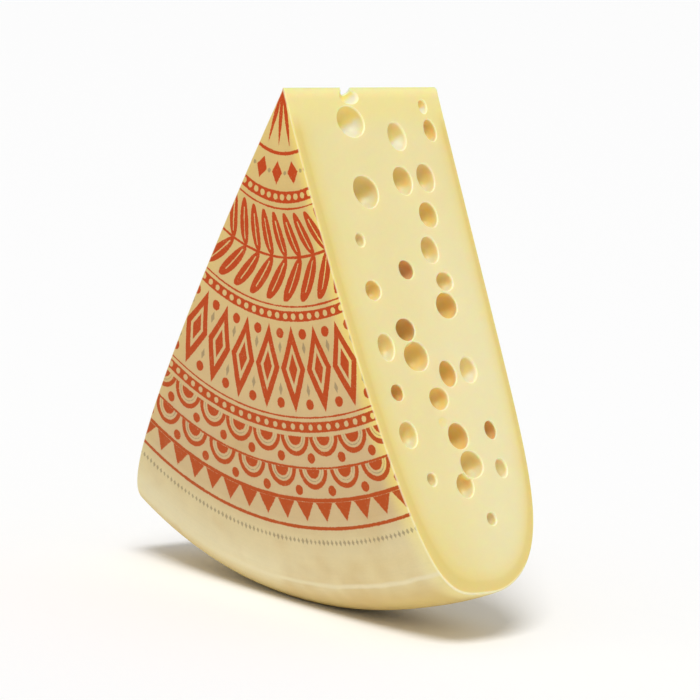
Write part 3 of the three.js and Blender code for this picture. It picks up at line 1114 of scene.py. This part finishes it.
# The rim is laid over with tan toward the +X side.
tan_toward_plus_x = reckon(
    tree, "MULTIPLY", fade(tree, angle, -0.10, 0.36), fade(tree, away, 0.392, 0.412)
)
tan_toward_plus_x = reckon(tree, "MULTIPLY", tan_toward_plus_x, fade(tree, place["Under Cut"], 0.004, 0.022))
colour = laid_over(tree, colour, tint(222, 196, 130), reckon(tree, "MULTIPLY", tan_toward_plus_x, 0.42))

# Light is painted glowing through the rind beside the cuts, most by the +X one, and most
# at the edge that the knife left.
reach = reckon(tree, "MULTIPLY_ADD", fade(tree, away, 0.05, 0.25), 0.45, 0.55)
under_cut_in_reach = reckon(tree, "DIVIDE", place["Under Cut"], reach)
painted_glow_by_cut = reckon(tree, "SUBTRACT", 1, fade(tree, under_cut_in_reach, 0.001, 0.022))
painted_glow_by_cut = reckon(
    tree, "MULTIPLY", painted_glow_by_cut, reckon(tree, "MULTIPLY_ADD", fade(tree, angle, -0.2, 0.2), 0.7, 0.15)
)
glow_by_cut_colour = laid_over(tree, tint(242, 217, 120), tint(241, 226, 160), fade(tree, away, 0.34, 0.41))
colour = laid_over(tree, colour, glow_by_cut_colour, painted_glow_by_cut)
colour = laid_over(tree, colour, tint(241, 229, 190), reckon(tree, "MULTIPLY", shoulder_highlight, 0.8))

shift = reckon(
    tree, "ADD", 1,
    reckon(
        tree, "ADD",
        reckon(
            tree, "ADD", reckon(tree, "MULTIPLY", cloudy, 0.10),
            reckon(tree, "MULTIPLY", pores, 0.08),
        ),
        reckon(
            tree, "ADD",
            reckon(
                tree, "MULTIPLY", strokes, reckon(tree, "MULTIPLY_ADD", lying_side, 0.06, 0.06)
            ),
            reckon(tree, "MULTIPLY", hairs, 0.025),
        ),
    ),
)
colour = brightened(tree, colour, shift)

# The print, worn off where the rind stands up, and a highlight painted as a pale line
# along the knife edge.
wobble = reckon(
    tree, "ADD", reckon(tree, "MULTIPLY", pores, 0.0012),
    reckon(tree, "MULTIPLY", cloudy, 0.0010),
)
marks = placed(tree, ornament, From_Axis=away, Angle=angle, Uneven_Edge=wobble)
worn = reckon(
    tree, "SUBTRACT", 0.98,
    reckon(tree, "MULTIPLY", fade(tree, pores, 0.10, 0.30), 0.35),
)
worn = reckon(
    tree, "SUBTRACT", worn, reckon(tree, "MULTIPLY", fade(tree, cloudy, 0.10, 0.35), 0.16)
)
worn = reckon(tree, "MULTIPLY", worn, domed_side)
grey_there = reckon(tree, "MULTIPLY", reckon(tree, "MULTIPLY", marks["Grey Ink"], worn), 0.6)
colour = laid_over(tree, colour, tint(128, 112, 88), grey_there)
print_there = reckon(
    tree, "MULTIPLY", reckon(tree, "MULTIPLY", marks["Ink"], worn),
    reckon(tree, "LESS_THAN", away, PRINT_EDGE),
)
ink_colour = graded(tree, away, WHEEL_RADIUS, (
    (0.000, tint(196, 64, 8)),
    (0.200, tint(190, 64, 8)),
    (0.380, tint(184, 76, 16)),
))
colour = laid_over(tree, colour, ink_colour, print_there)
# Painted highlight along the knife edge.
knife_edge_highlight = reckon(tree, "SUBTRACT", 1, fade(tree, place["Under Cut"], 0.0005, 0.0019))
knife_highlight_colour = laid_over(
    tree, tint(240, 229, 182), tint(247, 240, 203), fade(tree, away, 0.400, 0.444)
)
colour = laid_over(tree, colour, knife_highlight_colour, reckon(tree, "MULTIPLY", knife_edge_highlight, 0.7))
tree.links.new(colour, skin.inputs["Base Color"])

roughness = reckon(tree, "SUBTRACT", 0.62, reckon(tree, "MULTIPLY", print_there, 0.10))
roughness = reckon(tree, "ADD", roughness, reckon(tree, "MULTIPLY", cloudy, 0.15))
tree.links.new(roughness, skin.inputs["Roughness"])
rise = reckon(
    tree, "ADD", reckon(tree, "MULTIPLY", pores, 0.6),
    reckon(
        tree, "ADD", reckon(tree, "MULTIPLY", strokes, 0.5),
        reckon(tree, "MULTIPLY", hairs, 0.35),
    ),
)
raise_surface(tree, skin, rise, 0.6, 0.0003)
skin.inputs["Subsurface Weight"].default_value = 0.06
skin.inputs["Subsurface Radius"].default_value = (1.0, 0.55, 0.18)
skin.inputs["Subsurface Scale"].default_value = 0.003
skin.inputs["IOR"].default_value = 1.44
skin.inputs["Specular IOR Level"].default_value = 0.16

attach(wedge, "root")
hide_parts("cheese_wedge")

# ---------------------------------------------------------------------------------------
# The studio: a pale floor out of sight on all sides, one broad soft light from the upper
# left, an even glow all round, and a camera with a long lens, slightly tilted.
# ---------------------------------------------------------------------------------------
# The camera's place, and its turn, dip and tilt in degrees.
CAMERA_PLACE = (2.4695, -2.5077, 0.7734)
CAMERA_TURN = 44.388
CAMERA_DIP = 8.937
CAMERA_TILT = 5.12

bpy.ops.object.select_all(action="DESELECT")
bpy.ops.mesh.primitive_plane_add(size=80, location=(0, 0, 0))
floor = bpy.context.object
floor.name = "floor"
pale = bpy.data.materials.new("pale_floor")
pale.use_nodes = True
matt = pale.node_tree.nodes["Principled BSDF"]
matt.inputs["Base Color"].default_value = tint(254, 254, 254)
matt.inputs["Roughness"].default_value = 0.9
floor.data.materials.append(pale)

bpy.ops.object.light_add(type="SUN", location=(1, -2, 3))
sun = bpy.context.object
sun.data.energy = 1.94
sun.data.angle = radians(26)
sun.rotation_euler = Vector((0.31, -0.38, 0.87)).to_track_quat("Z", "Y").to_euler()

studio = bpy.data.worlds.new("studio")
studio.use_nodes = True
all_round = studio.node_tree.nodes["Background"]
all_round.inputs["Color"].default_value = (1, 1, 1, 1)
all_round.inputs["Strength"].default_value = 0.475
bpy.context.scene.world = studio

bpy.ops.object.camera_add(location=CAMERA_PLACE)
camera = bpy.context.object
camera.rotation_euler = (
    Matrix.Rotation(radians(CAMERA_TURN), 3, "Z")
    @ Matrix.Rotation(radians(90 - CAMERA_DIP), 3, "X")
    @ Matrix.Rotation(radians(CAMERA_TILT), 3, "Z")
).to_euler()
camera.data.sensor_width = 36
camera.data.lens = 211.0
camera.data.clip_end = 200
bpy.context.scene.camera = camera
bpy.context.scene.view_settings.view_transform = "Standard"
